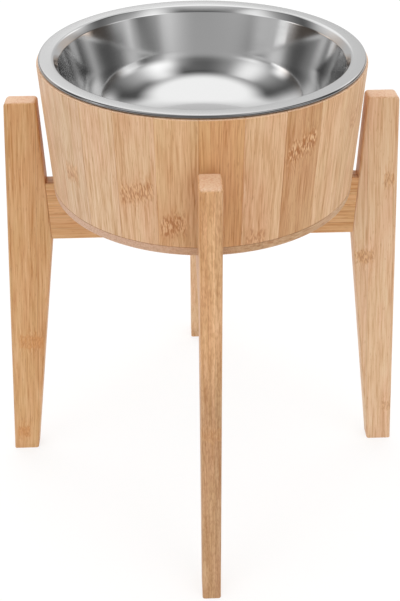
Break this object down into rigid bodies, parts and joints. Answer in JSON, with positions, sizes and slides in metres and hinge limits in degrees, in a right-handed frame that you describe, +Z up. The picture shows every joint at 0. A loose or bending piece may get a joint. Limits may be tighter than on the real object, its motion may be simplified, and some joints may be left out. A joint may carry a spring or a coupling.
{
  "type": "elevated pet feeder",
  "caption": "Elevated pet feeder: a wide stainless steel bowl hanging in a round bamboo drum of glued staves, on a crossed stand with splayed bamboo legs.",
  "frame": {"origin": "on the floor, under the centre of the drum and bowl, midway between the four feet", "axes": "+Z up along the drum's axis, -Y towards the front leg, +X towards the right leg"},
  "size_m": [0.3932, 0.3932, 0.4172],
  "materials": {
    "bamboo_stave": "satin lacquered",
    "bamboo_board": "satin lacquered",
    "bamboo_leg": "satin lacquered",
    "bamboo_brace": "satin lacquered",
    "bamboo_dowel": "raw",
    "stainless_steel": "polished inside, satin flange"
  },
  "bodies": {
    "stand": {"leg_left": "bamboo_leg", "leg_right": "bamboo_leg", "leg_front": "bamboo_leg", "leg_rear": "bamboo_leg", "brace_across": "bamboo_brace", "brace_front_to_rear": "bamboo_brace", "dowels": "bamboo_dowel"},
    "drum": {"stave_01": "bamboo_stave", "stave_02": "bamboo_stave", "stave_03": "bamboo_stave", "stave_04": "bamboo_stave", "stave_05": "bamboo_stave", "stave_06": "bamboo_stave", "stave_07": "bamboo_stave", "stave_08": "bamboo_stave", "stave_09": "bamboo_stave", "stave_10": "bamboo_stave", "stave_11": "bamboo_stave", "stave_12": "bamboo_stave", "stave_13": "bamboo_stave", "stave_14": "bamboo_stave", "stave_15": "bamboo_stave", "stave_16": "bamboo_stave", "stave_17": "bamboo_stave", "stave_18": "bamboo_stave", "stave_19": "bamboo_stave", "stave_20": "bamboo_stave", "stave_21": "bamboo_stave", "stave_22": "bamboo_stave", "stave_23": "bamboo_stave", "stave_24": "bamboo_stave", "stave_25": "bamboo_stave", "stave_26": "bamboo_stave", "drum_base": "bamboo_board"},
    "bowl": {"bowl": "stainless_steel"}
  },
  "joints": [
    {"name": "drum_lift", "type": "slide", "parent": "stand", "child": "drum", "axis": [0, 0, 1], "range_m": [0, 0.09]},
    {"name": "bowl_lift", "type": "slide", "parent": "drum", "child": "bowl", "axis": [0, 0, 1], "range_m": [0, 0.09]}
  ]
}
